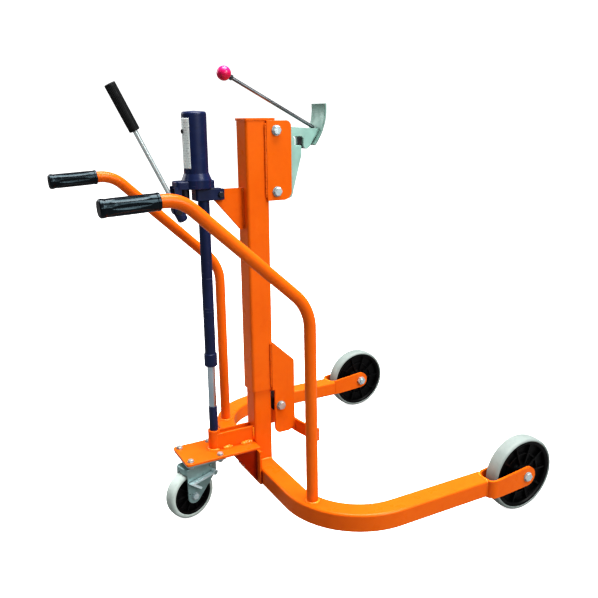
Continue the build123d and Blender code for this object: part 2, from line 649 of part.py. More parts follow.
# ---------------------------------------------------------------------------
# Hydraulic ram and hand pump, carried by the sleeve
# ---------------------------------------------------------------------------
with BuildPart() as bracket:
    with BuildSketch(side(4.5)):
        with BuildLine():
            Polyline(
                (-SLEEVE / 2, 845), (-102, 845), (-104, 818), (-40, 744), (-SLEEVE / 2, 744), close=True,
            )
        make_face()
        with Locations((-95, 834)):
            Circle(4.2, mode=Mode.SUBTRACT)
    extrude(amount=9)
bracket.part.label = "pump_bracket"
export_step(bracket.part, "parts/pump_bracket.step")

with BuildPart() as clamp_block:
    with BuildSketch(level(821)):
        with Locations((-120, 0)):
            RectangleRounded(72, 40, 6)
        with Locations((RAM_X, 0)):
            Circle(CYL_R + 0.05, mode=Mode.SUBTRACT)
        with Locations((-93, 0)):
            Rectangle(26, 9.2, mode=Mode.SUBTRACT)
    extrude(amount=CAST_LOW - 821)
    with BuildSketch(side(0)):
        with Locations((-95, 834)):
            Circle(4.2)
    extrude(amount=40, both=True, mode=Mode.SUBTRACT)
    fillet(clamp_block.edges().group_by(Axis.Z)[0].filter_by(lambda e: e.length > 5).filter_by(Axis.X), 1.5)
clamp_block.part.label = "pump_clamp_block"
export_step(clamp_block.part, "parts/pump_clamp_block.step")

with BuildPart() as block_bolt:
    with BuildSketch(side(-20)):
        with Locations((-95, 834)):
            Circle(4)
    extrude(amount=-50)
    with BuildSketch(side(-20)):
        with Locations((-95, 834)):
            RegularPolygon(6.5, 6, major_radius=False)
    extrude(amount=5)
    with BuildSketch(side(20)):
        with Locations((-95, 834)):
            RegularPolygon(6.5, 6, major_radius=False)
            Circle(4.05, mode=Mode.SUBTRACT)
    extrude(amount=-6.5)
    chamfer(block_bolt.faces().sort_by(Axis.Y)[0].edges(), 0.8)
block_bolt.part.label = "pump_clamp_bolt"
export_step(block_bolt.part, "parts/pump_clamp_bolt.step")

with BuildPart() as cylinder:
    with BuildSketch(level(CYL_LOW)):
        with Locations((RAM_X, 0)):
            Circle(CYL_R)
            Circle(CYL_BORE, mode=Mode.SUBTRACT)
    extrude(amount=CAST_LOW - CYL_LOW)
cylinder.part.label = "cylinder_tube"
export_step(cylinder.part, "parts/cylinder_tube.step")

with BuildPart() as gland:
    with BuildSketch(side(0)):
        with BuildLine():
            Polyline(
                (RAM_X + ROD_R + 0.06, GLAND_LOW), (RAM_X + GLAND_R - 2, GLAND_LOW), (RAM_X + GLAND_R, GLAND_LOW + 2),
                (RAM_X + GLAND_R, CYL_LOW - 1.5), (RAM_X + GLAND_R - 1.5, CYL_LOW), (RAM_X + ROD_R + 0.06, CYL_LOW),
                close=True,
            )
        make_face()
    revolve(axis=Axis((MAST_X + RAM_X, 0, 0), (0, 0, 1)))
gland.part.label = "cylinder_gland"
export_step(gland.part, "parts/cylinder_gland.step")

# Pump casting: round body under the reservoir with two ears, the plunger's bore and two lever links
with BuildPart() as casting:
    with BuildSketch(level(EAR_LOW)):
        with Locations((-156, 0)):
            RectangleRounded(96, 44, 10)
    extrude(amount=EAR_TOP - EAR_LOW)
    fillet(casting.edges().group_by(Axis.Z)[-1], 3)
    with BuildSketch(side(0)):
        with BuildLine():
            Polyline(
                (RES_X, EAR_LOW - 1.5), (RES_X + CAST_R - 2, EAR_LOW - 1.5), (RES_X + CAST_R, EAR_LOW + 0.5),
                (RES_X + CAST_R, EAR_TOP + 1), (RES_X + CAST_R - 1.5, EAR_TOP + 4), (RES_X + RES_R + 1.5, RES_LOW - 3),
                (RES_X + RES_R + 0.5, RES_LOW), (RES_X, RES_LOW), close=True,
            )
        make_face()
    revolve(axis=Axis((MAST_X + RES_X, 0, 0), (0, 0, 1)))
    with BuildSketch(level(CAST_LOW)):
        with Locations((RAM_X, 0)):
            Circle(18)
    extrude(amount=8)
    for y in (20, -15):
        with BuildSketch(side(y)):
            with Locations((PIVOT_X, PIVOT_Z)):
                Circle(8)
            with Locations((PIVOT_X, (PIVOT_Z + EAR_LOW + 6) / 2)):
                Rectangle(16, EAR_LOW + 6 - PIVOT_Z)
        extrude(amount=5)
    with BuildSketch(side(0)):
        with Locations((PIVOT_X, PIVOT_Z)):
            Circle(PIVOT_R + 0.05)
    extrude(amount=40, both=True, mode=Mode.SUBTRACT)
    with BuildSketch(level(EAR_LOW - 2)):
        with Locations((PLUNGER_X, 0)):
            Circle(PLUNGER_R + 0.3)
    extrude(amount=19, mode=Mode.SUBTRACT)
    with BuildSketch(level(EAR_LOW - 2)):
        with Locations((PLUNGER_X, 0)):
            Circle(12)
    extrude(amount=2, mode=Mode.SUBTRACT)
    with BuildSketch(side(CAST_R + 1)):
        with Locations((RES_X, 860)):
            Circle(4.05)
    extrude(amount=15, mode=Mode.SUBTRACT)
casting.part.label = "pump_casting"
export_step(casting.part, "parts/pump_casting.step")

with BuildPart() as reservoir:
    with BuildSketch(side(0)):
        with BuildLine():
            FilletPolyline(
                (RES_X + RES_R - 3, RES_LOW), (RES_X + RES_R, RES_LOW), (RES_X + RES_R, RES_TOP - 2),
                (RES_X, RES_TOP), radius=(0.4, 6), close=False,
            )
            Polyline(
                (RES_X, RES_TOP), (RES_X, RES_TOP - 4), (RES_X + RES_R - 3, RES_TOP - 8),
                (RES_X + RES_R - 3, RES_LOW),
            )
        make_face()
    revolve(axis=Axis((MAST_X + RES_X, 0, 0), (0, 0, 1)))
    with BuildSketch(Plane(origin=(MAST_X + RES_X, 0, 982), x_dir=(0, 1, 0), z_dir=(-1, 0, 0))):
        Circle(3.6)
    extrude(amount=40, mode=Mode.SUBTRACT)
reservoir.part.label = "reservoir"
export_step(reservoir.part, "parts/reservoir.step")

with BuildPart() as plug:
    with BuildSketch(Plane(origin=(MAST_X + RES_X - RES_R + 5, 0, 982), x_dir=(0, 1, 0), z_dir=(-1, 0, 0))):
        Circle(3.5)
    extrude(amount=8)
    with BuildSketch(Plane(origin=(MAST_X + RES_X - RES_R - 0.1, 0, 982), x_dir=(0, 1, 0), z_dir=(-1, 0, 0))):
        Circle(5)
    extrude(amount=3.2)
    fillet(plug.faces().sort_by(Axis.X)[0].edges(), 1)
plug.part.label = "filler_plug"
export_step(plug.part, "parts/filler_plug.step")

with BuildPart() as barrel:
    with BuildSketch(level(823)):
        with Locations((PLUNGER_X, 0)):
            Circle(11)
            Circle(PLUNGER_R + 0.05, mode=Mode.SUBTRACT)
    extrude(amount=EAR_LOW - 823)
barrel.part.label = "plunger_barrel"
export_step(barrel.part, "parts/plunger_barrel.step")

with BuildPart() as plunger:
    with BuildSketch(level(804.6)):
        with Locations((PLUNGER_X, 0)):
            Circle(PLUNGER_R)
    extrude(amount=38)
    fillet(plunger.edges().filter_by(GeomType.CIRCLE), 1)
plunger.part.label = "pump_plunger"
export_step(plunger.part, "parts/pump_plunger.step")

with BuildPart() as pivot_pin:
    with BuildSketch(side(21.5)):
        with Locations((PIVOT_X, PIVOT_Z)):
            Circle(PIVOT_R)
    extrude(amount=43)
    with BuildSketch(side(-20.2)):
        with Locations((PIVOT_X, PIVOT_Z)):
            Circle(7.2)
    extrude(amount=3)
pivot_pin.part.label = "lever_pivot_pin"
export_step(pivot_pin.part, "parts/lever_pivot_pin.step")

# Release valve: a screw with a fluted head on the left of the casting
with BuildPart() as valve:
    with BuildSketch(side(CAST_R + 0.6)):
        with Locations((RES_X, 860)):
            Circle(4)
    extrude(amount=12)
    with BuildSketch(side(CAST_R + 0.6)):
        with Locations((RES_X, 860)):
            Circle(8)
            with PolarLocations(8.4, 14):
                Circle(0.9, mode=Mode.SUBTRACT)
    extrude(amount=-8)
    with BuildSketch(side(CAST_R + 8.6)):
        with Locations((RES_X, 860)):
            RectangleRounded(4, 26, 1.9)
    extrude(amount=-4)
valve.part.label = "release_valve"
export_step(valve.part, "parts/release_valve.step")

# Pump lever: rocker with a socket, steel rod and ribbed grip
with BuildPart() as rocker:
    with BuildSketch(side(0)):
        with Locations((PIVOT_X, PIVOT_Z)):
            Circle(8)
        with Locations((PLUNGER_X, 797)):
            Circle(5)
        make_hull()
        with Locations((PIVOT_X, PIVOT_Z)):
            Circle(11)
    extrude(amount=8, both=True)
    with BuildSketch(lever_plane(-17)):
        Circle(ROCKER_R)
    extrude(amount=61)
    fillet(rocker.edges().filter_by(GeomType.CIRCLE).filter_by(lambda e: abs(e.radius - ROCKER_R) < 1e-3).sort_by(Axis.Z)[0], 6)
    with BuildSketch(side(0)):
        with Locations((PIVOT_X, PIVOT_Z)):
            Circle(PIVOT_R + 0.05)
    extrude(amount=30, both=True, mode=Mode.SUBTRACT)
    with BuildSketch(lever_plane(26)):
        Circle(5.52)
    extrude(amount=60, mode=Mode.SUBTRACT)
rocker.part.label = "pump_rocker"
export_step(rocker.part, "parts/pump_rocker.step")

with BuildPart() as lever_rod:
    with BuildSketch(lever_plane(26.2)):
        Circle(5.5)
    extrude(amount=300)
lever_rod.part.label = "pump_lever_rod"
export_step(lever_rod.part, "parts/pump_lever_rod.step")

with BuildPart() as lever_grip:
    with BuildSketch(Plane(origin=lever_plane(218).origin, x_dir=(LEVER_UX, 0, LEVER_UZ), z_dir=(0, -1, 0))):
        with BuildLine():
            Polyline(
                (0, 5.52), (0, 11.4), (1, 12.4), (110, 12.6), (111, 11.6), (111, 0), (108.4, 0), (108.4, 5.52), close=True,
            )
        make_face()
    revolve(axis=Axis(lever_plane(218).origin, lever_plane(218).z_dir))
    with BuildSketch(lever_plane(223)):
        with PolarLocations(12.9, 20):
            Circle(1.15)
    extrude(amount=100, mode=Mode.SUBTRACT)
lever_grip.part.label = "pump_lever_grip"
export_step(lever_grip.part, "parts/pump_lever_grip.step")

# ---------------------------------------------------------------------------
# Swivel caster with a foot brake, standing at its heading
# ---------------------------------------------------------------------------
with BuildPart() as top_plate:
    with BuildSketch(level(PLATE_Z - 5)):
        with Locations((SWIVEL_X, 0)):
            RectangleRounded(106, 110, 8)
            with GridLocations(80, 86, 2, 2):
                Circle(4.2, mode=Mode.SUBTRACT)
    extrude(amount=5)
    fillet(top_plate.faces().sort_by(Axis.Z)[0].outer_wire().edges(), 1)
    with BuildSketch(level(146.4)):
        with Locations((SWIVEL_X, 0)):
            Circle(31)
    extrude(amount=PLATE_Z - 5 - 146.4)
    with BuildSketch(level(137)):
        with Locations((SWIVEL_X, 0)):
            Circle(7)
    extrude(amount=12)
    with BuildSketch(level(134)):
        with Locations((SWIVEL_X, 0)):
            Circle(12)
    extrude(amount=4.6)
top_plate.part.label = "caster_mounting_plate"
export_step(top_plate.part, "parts/caster_mounting_plate.step")

with BuildPart() as caster_bolts:
    with BuildSketch(level(PLATE_Z + PLATE_H)):
        with Locations((SWIVEL_X, 0)):
            with GridLocations(80, 86, 2, 2):
                Circle(4)
    extrude(amount=-20)
    with BuildSketch(level(PLATE_Z + PLATE_H)):
        with Locations((SWIVEL_X, 0)):
            with GridLocations(80, 86, 2, 2):
                Circle(8.4)
    extrude(amount=1.6)
    with BuildSketch(level(PLATE_Z + PLATE_H)):
        with Locations((SWIVEL_X, 0)):
            with GridLocations(80, 86, 2, 2):
                RegularPolygon(6.5, 6, major_radius=False)
    extrude(amount=6.0)
    with BuildSketch(level(PLATE_Z - 5)):
        with Locations((SWIVEL_X, 0)):
            with GridLocations(80, 86, 2, 2):
                RegularPolygon(6.5, 6, major_radius=False)
                Circle(4.05, mode=Mode.SUBTRACT)
    extrude(amount=-6.8)
    chamfer(caster_bolts.faces().group_by(Axis.Z)[-1].edges(), 1)
caster_bolts.part.label = "caster_bolts"
export_step(caster_bolts.part, "parts/caster_bolts.step")

with BuildPart() as fork:
    with BuildSketch(caster_level(139)):
        with Locations((-12, 0)):
            RectangleRounded(98, 2 * FORK_OUT, 11)
        Circle(7.05, mode=Mode.SUBTRACT)
    extrude(amount=7)
    fillet(fork.faces().sort_by(Axis.Z)[-1].outer_wire().edges(), 3)
    with BuildSketch(caster_level(130)):
        with Locations((-12, 0)):
            RectangleRounded(98, 2 * FORK_OUT, 11)
            RectangleRounded(98 - 8, 2 * FORK_IN, 7, mode=Mode.SUBTRACT)
    extrude(amount=10)
    for y in (FORK_OUT, -FORK_IN):
        with BuildSketch(caster_side(y)):
            with Locations((-12, 126)):
                Rectangle(90, 28)
            with Locations((-TRAIL, CASTER_R)):
                Circle(20)
            make_hull()
            with Locations((-TRAIL, CASTER_R)):
                Circle(6.1, mode=Mode.SUBTRACT)
        extrude(amount=FORK_OUT - FORK_IN)
    with BuildSketch(caster_side(-FORK_OUT)):
        with Locations((BRAKE_X, BRAKE_Z)):
            Circle(4)
    extrude(amount=14)
    with BuildSketch(caster_side(-FORK_OUT)):
        with Locations((16, 134)):
            Circle(4.5)
    extrude(amount=3.5)
    fillet(fork.edges().filter_by(GeomType.CIRCLE).filter_by(lambda e: abs(e.radius - 4.5) < 1e-3).sort_by(Axis.Y)[0], 2)
fork.part.label = "caster_fork"
export_step(fork.part, "parts/caster_fork.step")

with BuildPart() as caster_axle:
    with BuildSketch(caster_side(-FORK_OUT)):
        with Locations((-TRAIL, CASTER_R)):
            Circle(6)
    extrude(amount=-(2 * FORK_OUT + 11))
    with BuildSketch(caster_side(-FORK_OUT)):
        with Locations((-TRAIL, CASTER_R)):
            Circle(10)
    extrude(amount=1.6)
    with BuildSketch(caster_side(-FORK_OUT)):
        with Locations((-TRAIL, CASTER_R)):
            RegularPolygon(7.5, 6, major_radius=False)
    extrude(amount=6.5)
    with BuildSketch(caster_side(FORK_OUT)):
        with Locations((-TRAIL, CASTER_R)):
            RegularPolygon(9, 6, major_radius=False)
            Circle(6.05, mode=Mode.SUBTRACT)
    extrude(amount=-9)
caster_axle.part.label = "caster_axle"
export_step(caster_axle.part, "parts/caster_axle.step")

with BuildPart() as brake:
    with BuildSketch(caster_side(-FORK_OUT - 0.5)):
        with BuildLine():
            Polyline((BRAKE_X, BRAKE_Z), (-49, 107), (-23, 87))
        trace(line_width=5.6)
        with Locations((BRAKE_X, BRAKE_Z)):
            Circle(7.5)
            Circle(4.05, mode=Mode.SUBTRACT)
    extrude(amount=12)
brake.part.label = "caster_brake_lever"
export_step(brake.part, "parts/caster_brake_lever.step")

ca = math.radians(HEADING)
cax = (MAST_X + SWIVEL_X - TRAIL * math.cos(ca), -TRAIL * math.sin(ca), CASTER_R)
cspin = Axis(cax, (-math.sin(ca), math.cos(ca), 0))
ccut = Plane(origin=cax, x_dir=(-math.sin(ca), math.cos(ca), 0), z_dir=(math.cos(ca), math.sin(ca), 0))
cdisc = Plane(origin=cax, x_dir=(math.cos(ca), math.sin(ca), 0), z_dir=(math.sin(ca), -math.cos(ca), 0))
cw = CASTER_W / 2
with BuildPart() as caster_tyre:
    with BuildSketch(ccut):
        with BuildLine():
            Polyline((-cw, 59), (-cw, 55.5), (-cw + 1.5, 54), (cw - 1.5, 54), (cw, 55.5), (cw, 59))
            ThreePointArc((cw, 59), (cw - 2.6, 63.4), (cw - 7, 65.3))
            ThreePointArc((cw - 7, 65.3), (0, CASTER_R), (-cw + 7, 65.3))
            ThreePointArc((-cw + 7, 65.3), (-cw + 2.6, 63.4), (-cw, 59))
        make_face()
    revolve(axis=cspin)
caster_tyre.part.label = "caster_tyre"
export_step(caster_tyre.part, "parts/caster_tyre.step")

with BuildPart() as caster_hub:
    with BuildSketch(ccut):
        with BuildLine():
            Polyline(
                (-15, 54), (-15, 50), (-12.5, 48), (-4, 46.5), (-4, 20), (-8, 18), (-19.6, 16.5), (-19.6, 6.05),
                (19.6, 6.05), (19.6, 16.5), (8, 18), (4, 20), (4, 46.5), (12.5, 48), (15, 50), (15, 54), close=True,
            )
        make_face()
    revolve(axis=cspin)
    with BuildSketch(cdisc):
        with PolarLocations(32.5, 10):
            Rectangle(32, 3.2)
    extrude(amount=10.5, both=True)
caster_hub.part.label = "caster_hub"
export_step(caster_hub.part, "parts/caster_hub.step")
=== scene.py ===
import math
import random

import bmesh
import bpy
from mathutils import Matrix, Vector


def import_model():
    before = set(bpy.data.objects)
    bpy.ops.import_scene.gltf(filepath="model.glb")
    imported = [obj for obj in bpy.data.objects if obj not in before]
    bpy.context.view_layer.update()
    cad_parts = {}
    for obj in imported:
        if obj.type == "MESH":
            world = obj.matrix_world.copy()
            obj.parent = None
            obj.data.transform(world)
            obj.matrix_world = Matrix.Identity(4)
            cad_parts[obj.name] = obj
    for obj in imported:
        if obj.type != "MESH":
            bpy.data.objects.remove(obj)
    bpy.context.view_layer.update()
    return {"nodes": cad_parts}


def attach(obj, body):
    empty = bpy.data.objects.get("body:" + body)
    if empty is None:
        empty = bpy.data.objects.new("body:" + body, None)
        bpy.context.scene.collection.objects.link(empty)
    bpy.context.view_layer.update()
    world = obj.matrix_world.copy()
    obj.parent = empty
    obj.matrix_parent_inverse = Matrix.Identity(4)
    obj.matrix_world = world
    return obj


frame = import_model()
nodes = frame["nodes"]
scene = bpy.context.scene

MAST_X = -0.1126      # mast axis in the part's frame


# ---------------------------------------------------------------------------
# Node helpers
# ---------------------------------------------------------------------------
class Mat:
    """A material under construction: its tree, its shader and short makers for the nodes it needs."""

    def __init__(self, name):
        self.mat = bpy.data.materials.new(name)
        self.mat.use_nodes = True
        self.t = self.mat.node_tree
        self.t.nodes.clear()
        self.out = self.t.nodes.new("ShaderNodeOutputMaterial")
        self.bsdf = self.t.nodes.new("ShaderNodeBsdfPrincipled")
        self.t.links.new(self.bsdf.outputs["BSDF"], self.out.inputs["Surface"])
        self.coord = self.t.nodes.new("ShaderNodeTexCoord")

    def set(self, **kw):
        for k, v in kw.items():
            self.bsdf.inputs[k.replace("_", " ")].default_value = v
        return self

    def link(self, a, b):
        self.t.links.new(a, b)

    def mapping(self, scale=(1, 1, 1), rot=(0, 0, 0), loc=(0, 0, 0)):
        m = self.t.nodes.new("ShaderNodeMapping")
        m.inputs["Scale"].default_value = scale
        m.inputs["Rotation"].default_value = rot
        m.inputs["Location"].default_value = loc
        self.link(self.coord.outputs["Object"], m.inputs["Vector"])
        return m.outputs["Vector"]

    def noise(self, scale, detail=4.0, rough=0.55, distortion=0.0, vec=None):
        n = self.t.nodes.new("ShaderNodeTexNoise")
        n.inputs["Scale"].default_value = scale
        n.inputs["Detail"].default_value = detail
        n.inputs["Roughness"].default_value = rough
        n.inputs["Distortion"].default_value = distortion
        self.link(vec or self.coord.outputs["Object"], n.inputs["Vector"])
        return n.outputs["Fac"]

    def voronoi(self, scale, feature="F1", out="Distance", vec=None):
        n = self.t.nodes.new("ShaderNodeTexVoronoi")
        n.feature = feature
        n.inputs["Scale"].default_value = scale
        self.link(vec or self.coord.outputs["Object"], n.inputs["Vector"])
        return n.outputs[out]

    def ramp(self, fac, lo, hi, a=0.0, b=1.0):
        n = self.t.nodes.new("ShaderNodeMapRange")
        n.interpolation_type = "SMOOTHSTEP"
        n.inputs["From Min"].default_value = lo
        n.inputs["From Max"].default_value = hi
        n.inputs["To Min"].default_value = a
        n.inputs["To Max"].default_value = b
        self.link(fac, n.inputs["Value"])
        return n.outputs["Result"]

    def math(self, op, a, b=None):
        n = self.t.nodes.new("ShaderNodeMath")
        n.operation = op
        n.use_clamp = op in ("MULTIPLY_ADD",)
        for i, v in enumerate((a, b)):
            if v is None:
                continue
            if isinstance(v, (int, float)):
                n.inputs[i].default_value = v
            else:
                self.link(v, n.inputs[i])
        return n.outputs[0]

    def mix(self, fac, a, b, kind="MIX"):
        n = self.t.nodes.new("ShaderNodeMix")
        n.data_type = "RGBA"
        n.blend_type = kind
        for sock, v in ((n.inputs[0], fac), (n.inputs[6], a), (n.inputs[7], b)):
            if isinstance(v, (int, float)):
                sock.default_value = v
            elif isinstance(v, (tuple, list)):
                sock.default_value = (*v, 1.0) if len(v) == 3 else v
            else:
                self.link(v, sock)
        return n.outputs[2]

    def edges(self, radius=0.0016, lo=0.02, hi=0.28):
        """Mask of edges, where a bevelled normal leaves the true one; used for wear, and in the orange paint also for
        a painted highlight.
        """
        bev = self.t.nodes.new("ShaderNodeBevel")
        bev.samples = 6
        bev.inputs["Radius"].default_value = radius
        geo = self.t.nodes.new("ShaderNodeNewGeometry")
        dot = self.t.nodes.new("ShaderNodeVectorMath")
        dot.operation = "DOT_PRODUCT"
        self.link(bev.outputs["Normal"], dot.inputs[0])
        self.link(geo.outputs["True Normal"], dot.inputs[1])
        return self.ramp(self.math("SUBTRACT", 1.0, dot.outputs["Value"]), lo, hi)

    def crevice(self, distance=0.02, lo=0.35, hi=0.95):
        """Mask of corners found by ambient occlusion, 1 in the corner."""
        ao = self.t.nodes.new("ShaderNodeAmbientOcclusion")
        ao.samples = 6
        ao.inputs["Distance"].default_value = distance
        return self.ramp(ao.outputs["AO"], lo, hi, 1.0, 0.0)

    def bump(self, height, strength=0.2, distance=0.0005, normal=None):
        n = self.t.nodes.new("ShaderNodeBump")
        n.inputs["Strength"].default_value = strength
        n.inputs["Distance"].default_value = distance
        self.link(height, n.inputs["Height"])
        if normal is not None:
            self.link(normal, n.inputs["Normal"])
        return n.outputs["Normal"]

    def wire(self, base=None, rough=None, normal=None, metallic=None):
        if base is not None:
            self.link(base, self.bsdf.inputs["Base Color"])
        if rough is not None:
            self.link(rough, self.bsdf.inputs["Roughness"])
        if normal is not None:
            self.link(normal, self.bsdf.inputs["Normal"])
        if metallic is not None:
            self.link(metallic, self.bsdf.inputs["Metallic"])
        return self.mat


def rgb(r, g, b):
    """sRGB 0-255 to linear."""
    def f(c):
        c /= 255
        return c / 12.92 if c <= 0.04045 else ((c + 0.055) / 1.055) ** 2.4
    return (f(r), f(g), f(b))


# ---------------------------------------------------------------------------
# Materials
# ---------------------------------------------------------------------------
def orange_paint(name, lo, hi, deep):
    m = Mat(name)
    m.set(Coat_Weight=0.42, Coat_Roughness=0.15, Coat_IOR=1.36, Specular_IOR_Level=0.05)
    broad = m.noise(5.0, 3.0)
    fine = m.noise(60.0, 5.0)
    col = m.mix(m.ramp(broad, 0.35, 0.65), lo, hi)
    col = m.mix(m.ramp(fine, 0.45, 0.75, 0.0, 0.22), col, deep)
    # paler orange along the edges: partly worn paint, partly a painted highlight
    edge = m.math("MULTIPLY", m.edges(0.0015), m.ramp(m.noise(45.0, 4.0), 0.42, 0.66))
    col = m.mix(m.math("MULTIPLY", edge, 0.55), col, rgb(255, 150, 62))
    # darker, redder orange in the corners: painted shade
    corner_dark = m.math("MULTIPLY", m.crevice(0.015), m.ramp(fine, 0.3, 0.7, 0.25, 0.7))
    col = m.mix(m.math("MULTIPLY", corner_dark, 0.6), col, rgb(140, 34, 2))
    chips = m.math("MULTIPLY", m.ramp(m.voronoi(95.0), 0.05, 0.09, 1.0, 0.0), m.math("MULTIPLY", edge, 0.8))
    col = m.mix(chips, col, rgb(90, 62, 50))
    rough = m.ramp(m.noise(22.0, 4.0), 0.3, 0.7, 0.26, 0.40)
    peel = m.noise(420.0, 2.0)
    nrm = m.bump(peel, 0.03, 0.0002)
    nrm = m.bump(m.noise(14.0, 2.0), 0.08, 0.0012, nrm)
    m.link(m.bump(m.noise(16.0, 2.0), 0.05, 0.0010), m.bsdf.inputs["Coat Normal"])
    return m.wire(col, rough, nrm)


def weld_paint():
    """Paint lying thick over a weld, with painted yellow highlights in patches and painted shade in small pinhole
    spots.
    """
    m = Mat("weld_paint")
    m.set(Coat_Weight=0.6, Coat_Roughness=0.10, Specular_IOR_Level=0.2)
    fine = m.noise(140.0, 5.0)
    # the weld's yellow colours: painted highlight
    col = m.mix(m.ramp(m.noise(60.0, 4.0), 0.35, 0.65), rgb(252, 124, 14), rgb(255, 166, 44))
    col = m.mix(m.ramp(fine, 0.58, 0.74, 0.0, 0.4), col, rgb(212, 72, 7))
    # dark pinhole spots: painted shade
    pin = m.math("MULTIPLY", m.ramp(m.voronoi(260.0), 0.05, 0.10, 1.0, 0.0), m.ramp(m.noise(70.0, 3.0), 0.48, 0.60))
    col = m.mix(m.math("MULTIPLY", pin, 0.7), col, rgb(120, 34, 6))
    rough = m.ramp(fine, 0.3, 0.7, 0.24, 0.42)
    nrm = m.bump(fine, 0.22, 0.0006)
    return m.wire(col, rough, nrm)


def navy_paint():
    m = Mat("navy_paint")
    m.set(Coat_Weight=0.20, Coat_Roughness=0.16, Specular_IOR_Level=0.22)
    fine = m.noise(70.0, 5.0)
    col = m.mix(m.ramp(m.noise(9.0, 3.0), 0.35, 0.65), rgb(18, 30, 66), rgb(26, 41, 83))
    col = m.mix(m.ramp(fine, 0.5, 0.8, 0.0, 0.35), col, rgb(15, 17, 44))
    edge = m.math("MULTIPLY", m.edges(0.0014), m.ramp(m.noise(60.0, 4.0), 0.45, 0.65))
    col = m.mix(m.math("MULTIPLY", edge, 0.5), col, rgb(96, 104, 140))
    scr = m.noise(1.0, 2.0, vec=m.mapping((26, 26, 560), (0.5, 0.9, 0.3)))
    scr = m.math("MULTIPLY", m.ramp(scr, 0.70, 0.73), m.ramp(m.noise(16.0, 2.0), 0.52, 0.62))
    col = m.mix(m.math("MULTIPLY", scr, 0.5), col, rgb(150, 158, 184))
    rough = m.ramp(m.noise(30.0, 4.0), 0.3, 0.7, 0.30, 0.48)
    nrm = m.bump(m.noise(520.0, 2.0), 0.12, 0.00025)
    return m.wire(col, rough, nrm)


def zinc(name, metal, lo, hi, cells):
    m = Mat(name)
    m.set(Metallic=metal)
    cell = m.voronoi(85.0, "SMOOTH_F1")
    col = m.mix(m.ramp(m.noise(14.0, 5.0), 0.3, 0.7), lo, hi)
    col = m.mix(m.ramp(cell, 0.1, 0.6, 0.0, 0.25), col, cells)
    edge = m.math("MULTIPLY", m.edges(0.001), 0.5)
    col = m.mix(edge, col, rgb(236, 240, 240))
    # darker in the corners that the occlusion mask finds
    corner_dark = m.math("MULTIPLY", m.crevice(0.01), 0.55)
    col = m.mix(corner_dark, col, rgb(70, 74, 72))
    rough = m.ramp(m.noise(40.0, 5.0), 0.3, 0.7, 0.26, 0.46)
    brush = m.noise(1.0, 3.0, vec=m.mapping((60, 60, 900), (0, 0.2, 0)))
    nrm = m.bump(brush, 0.05, 0.0002)
    return m.wire(col, rough, nrm)


def bright_steel(name, metal, lo, hi):
    m = Mat(name)
    m.set(Metallic=metal)
    col = m.mix(m.ramp(m.noise(50.0, 4.0), 0.35, 0.65), lo, hi)
    # darker in the corners that the occlusion mask finds
    corner_dark = m.math("MULTIPLY", m.crevice(0.006), 0.6)
    col = m.mix(corner_dark, col, rgb(66, 66, 64))
    rough = m.ramp(m.noise(40.0, 3.0), 0.3, 0.7, 0.20, 0.32)
    nrm = m.bump(m.noise(160.0, 2.0), 0.03, 0.0001)
    return m.wire(col, rough, nrm)


def drawn_rod(name, metal, lo, hi):
    """Cold drawn bar: even grey with faint draw marks."""
    m = Mat(name)
    m.set(Metallic=metal)
    col = m.mix(m.ramp(m.noise(9.0, 3.0), 0.35, 0.65), lo, hi)
    # darker in the corners that the occlusion mask finds
    corner_dark = m.math("MULTIPLY", m.crevice(0.006), 0.5)
    col = m.mix(corner_dark, col, rgb(52, 52, 52))
    rough = m.ramp(m.noise(12.0, 3.0), 0.3, 0.7, 0.27, 0.36)
    nrm = m.bump(m.noise(30.0, 2.0), 0.02, 0.0002)
    return m.wire(col, rough, nrm)


def dark_steel():
    m = Mat("dark_steel")
    m.set(Metallic=0.75)
    col = m.mix(m.ramp(m.noise(40.0, 5.0), 0.3, 0.7), rgb(38, 39, 44), rgb(62, 64, 70))
    edge = m.math("MULTIPLY", m.edges(0.0009), m.ramp(m.noise(80.0, 3.0), 0.4, 0.6))
    col = m.mix(m.math("MULTIPLY", edge, 0.8), col, rgb(150, 152, 156))
    rough = m.ramp(m.noise(60.0, 4.0), 0.3, 0.7, 0.34, 0.55)
    nrm = m.bump(m.noise(600.0, 3.0), 0.10, 0.0002)
    return m.wire(col, rough, nrm)


def chrome():
    m = Mat("chrome_rod")
    m.set(Metallic=1.0)
    col = m.mix(m.ramp(m.noise(20.0, 4.0), 0.3, 0.7), rgb(180, 197, 208), rgb(206, 218, 226))
    rough = m.ramp(m.noise(1.0, 3.0, vec=m.mapping((30, 30, 800))), 0.3, 0.7, 0.12, 0.24)
    nrm = m.bump(m.noise(1.0, 2.0, vec=m.mapping((20, 20, 1400))), 0.04, 0.0001)
    return m.wire(col, rough, nrm)


def tyre(name, lo, hi, mark):
    m = Mat(name)
    m.set(Specular_IOR_Level=0.35)
    col = m.mix(m.ramp(m.noise(16.0, 4.0), 0.3, 0.7), lo, hi)
    col = m.mix(m.ramp(m.noise(90.0, 5.0), 0.52, 0.8, 0.0, 0.4), col, mark)
    scuff = m.math("MULTIPLY", m.ramp(m.noise(38.0, 6.0, 0.7), 0.58, 0.72), 0.35)
    col = m.mix(scuff, col, rgb(120, 124, 120))
    # darker in the corners that the occlusion mask finds
    corner_dark = m.math("MULTIPLY", m.crevice(0.01), 0.5)
    col = m.mix(corner_dark, col, rgb(86, 90, 88))
    rough = m.ramp(m.noise(50.0, 4.0), 0.3, 0.7, 0.5, 0.68)
    nrm = m.bump(m.noise(480.0, 3.0), 0.12, 0.0003)
    return m.wire(col, rough, nrm)


